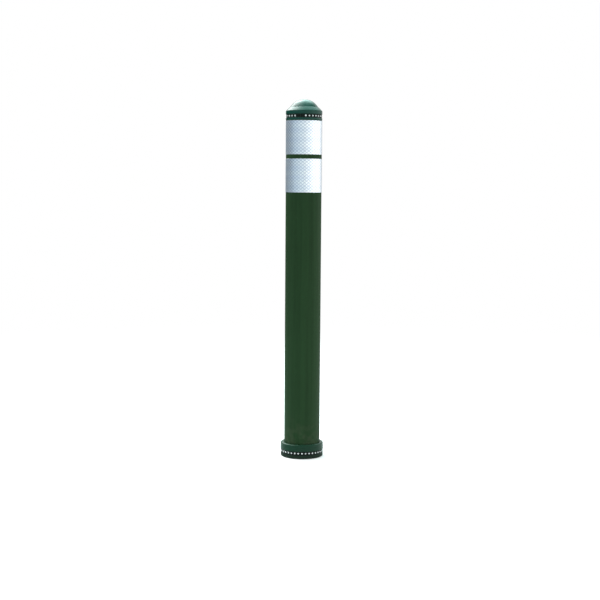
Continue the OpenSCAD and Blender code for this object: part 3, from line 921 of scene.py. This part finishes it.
class DELINEATOR_OT_steel(bpy.types.Operator):
    """Build the anchor plate, the anchor nut and all three sets of screws"""
    bl_idname = "delineator.steel"
    bl_label = "Anchor and screws"

    def execute(self, context):
        s = context.scene.delineator_steel
        zinc = plated_metal("zinc_steel", s.zinc, (0.66, 0.62, 0.48, 1.0), 0.3, 0.1)
        steel = plated_metal("stainless_steel", s.steel, (0.52, 0.52, 0.53, 1.0), 0.24, 0.16)
        self.plate(s, zinc)
        self.nut(s, zinc)
        self.screws(zinc, steel)
        return {"FINISHED"}

    def plate(self, s, zinc):
        """A disc with a middle hole and four countersunk ones."""
        hole, rim, low, top = measure("anchor_plate")
        circle, head = circle_of("core_screws")
        shank, wide = shank_radius("core_screws") + WIDE_PLAY, head + WIDE_PLAY
        seat_low = measure("core_screws")[2]
        seat_top = seat_low + wide - shank
        e, flat = s.plate_edge, rim - s.plate_edge
        holes = Holes(4, circle, hole, flat)
        surface = welded(
            turned([(flat, low), (rim, low + e), (rim, top - e), (flat, top)]),
            holes.face(hole, flat, top, shank, up=True),
            turned([(hole, top), (hole, low)]), holes.face(hole, flat, low, wide, up=False),
            holes.wall([(shank, top), (shank, seat_top), (wide, seat_low), (wide, low)]))
        add_piece("anchor_disc", surface, "zinc_steel", "anchor_plate", "base", zinc)

    def nut(self, s, zinc):
        """A long hexagon nut: a cone cuts its corners back at both ends, and the bore follows the
        thread's helix outward from its minor radius."""
        minor, corner, low, high = measure("anchor_nut")
        flat = corner * math.cos(math.pi / 6)
        depth, fade, cone_slope = s.thread_pitch * 0.5, 0.001, 1.7
        up, down = np.linspace(low, high, 49), np.linspace(high, low, 97)
        outline = np.vstack([[(minor + fade, low)], np.stack([0 * up + corner, up], 1),
                             [(minor + fade, high)], np.stack([0 * down + minor, down], 1),
                             [(minor + fade, low)]])

        def shape(r, z, a):
            to_end = np.minimum(z - low, high - z)
            outside = np.minimum(hexagon(flat, a), flat + to_end * cone_slope)
            crest = depth * (1 - zigzag(z, a, s.thread_pitch))
            bore = minor + crest * np.clip(to_end / fade, 0, 1)
            return np.where(r > flat, outside, np.where(r < minor + MICRON, bore, r))

        surface = welded(turned(outline, 96, shape))
        add_piece("long_nut", surface, "zinc_steel", "anchor_nut", "base", zinc)

    def screws(self, zinc, steel):
        """The flange screws are countersunk, and the small ones have flat cheese heads."""
        bevel = 0.0002
        for node, number, metal, slot, body, pitch, flat_head in (
                ("core_screws", 4, zinc, "zinc_steel", "base", 0.001, None),
                ("collar_screws", 6, steel, "stainless_steel", "base", 0.0006, 0.0016),
                ("cap_screws", 4, steel, "stainless_steel", "post", 0.0008, 0.0022)):
            circle, head = circle_of(node)
            _, _, low, high = measure(node)
            shank = shank_radius(node)
            seat = (head, low + flat_head) if flat_head else (shank, low + head - shank)
            outline = [(head - bevel, low), (head, low + bevel), seat]
            depth = flat_head * 0.7 if flat_head else 0.0023
            one = screw_surface(shank, low, high, outline, shank * 1.3, depth, pitch)
            surface = welded(copied_round(one, middles(number), circle))
            add_piece(node.replace("screws", "screw_set"), surface, slot, node, body, metal)


class DELINEATOR_OT_stage(bpy.types.Operator):
    """Set up the pale floor, the soft lights and the camera"""
    bl_idname = "delineator.stage"
    bl_label = "Stage"

    def execute(self, context):
        s = context.scene.delineator_stage
        self.floor(s)
        self.surround(context.scene)
        self.camera(context.scene, s)
        return {"FINISHED"}

    def floor(self, s):
        """A wide disc, z = 0, whose edge fades away."""
        disc = turned([(radius, 0) for radius in (3.0, 2.2, 1.5, 1.0, 0.6, 0.3, 0)], 2 * SIDES)
        floor = add_object("floor", welded(disc))
        f = Finish("floor")
        far = f.node("VectorMath", {"operation": "LENGTH"}, {0: f.place()}, "Value")
        cloud = f.noise(f.place(), 3, 3)
        colour = f.mix(cloud, s.floor_colour, shade(s.floor_colour, 1.03))
        floor.data.materials.append(f.set(Base_Color=colour, Roughness=0.9, Specular_IOR_Level=0.1,
                                          Alpha=f.rise(far, 2.6, 0.5) * 0.55))

    def surround(self, scene):
        """White to the eye. As light it is dark but for the soft boxes. A box's glow depends on the
        cosine of the angle from its middle. A bearing runs from the front (-Y) to +X, a climb upward."""
        scene.world = bpy.data.worlds.new("surround")
        w = Shading(scene.world)
        way = w.node("TexCoord", output="Generated")
        light = None
        for *angles, strength, colour in SOFT_BOXES.values():
            bearing, climb, edge, full = np.radians(angles).tolist()
            level = math.cos(climb)
            middle = (math.sin(bearing) * level, -math.cos(bearing) * level, math.sin(climb))
            near = w.node("VectorMath", {"operation": "DOT_PRODUCT"}, {0: way, 1: middle}, "Value")
            glow = w.rise(near, math.cos(edge), math.cos(full)) * strength
            box = w.node("Background", {}, {"Color": (*colour, 1.0), "Strength": glow})
            light = box if light is None else w.node("AddShader", {}, {0: light, 1: box})
        seen = w.node("Background", {}, {"Color": (1.0, 1.0, 1.0, 1.0)})
        eye = w.node("LightPath", output="Is Camera Ray")
        w.node("OutputWorld", {}, {0: w.node("MixShader", {}, {0: eye, 1: light, 2: seen})}, None)

    def camera(self, scene, s):
        """A camera in front of the post, looking slightly down."""
        data = bpy.data.cameras.new("camera")
        data.lens, data.sensor_width, data.clip_end = s.lens, 36.0, 200.0
        camera = bpy.data.objects.new("camera", data)
        camera.location = (-s.aside, -s.distance, s.height)
        camera.rotation_mode = "QUATERNION"
        tilt = Quaternion((1, 0, 0), math.pi / 2 - s.pitch)
        camera.rotation_quaternion = tilt @ Quaternion((0, 0, 1), s.roll)
        scene.collection.objects.link(camera)
        scene.camera = camera
        scene.view_settings.view_transform = "Standard"


OPERATORS = (DELINEATOR_OT_tube, DELINEATOR_OT_sheets, DELINEATOR_OT_cap, DELINEATOR_OT_base,
             DELINEATOR_OT_beads, DELINEATOR_OT_steel, DELINEATOR_OT_stage)


class DELINEATOR_PT_panel(bpy.types.Panel):
    """Lists the operators in the order that they run in, and every setting"""
    bl_label = "Delineator post"
    bl_space_type = "VIEW_3D"
    bl_region_type = "UI"
    bl_category = "Delineator"

    def draw(self, context):
        for operator in OPERATORS:
            self.layout.operator(operator.bl_idname)
        for name, group in GROUPS.items():
            box = self.layout.box()
            box.label(text=group.__doc__)
            for key in group.__annotations__:
                box.prop(getattr(context.scene, name), key)


def register():
    for cls in (*GROUPS.values(), *OPERATORS, DELINEATOR_PT_panel):
        bpy.utils.register_class(cls)
    for name, group in GROUPS.items():
        setattr(bpy.types.Scene, name, bpy.props.PointerProperty(type=group))


def unregister():
    for name in GROUPS:
        delattr(bpy.types.Scene, name)
    for cls in reversed((*GROUPS.values(), *OPERATORS, DELINEATOR_PT_panel)):
        bpy.utils.unregister_class(cls)


def main():
    """Runs every operator in order."""
    register()
    for operator in OPERATORS:
        area, name = operator.bl_idname.split(".")
        getattr(getattr(bpy.ops, area), name)()


if __name__ == "__main__":
    main()
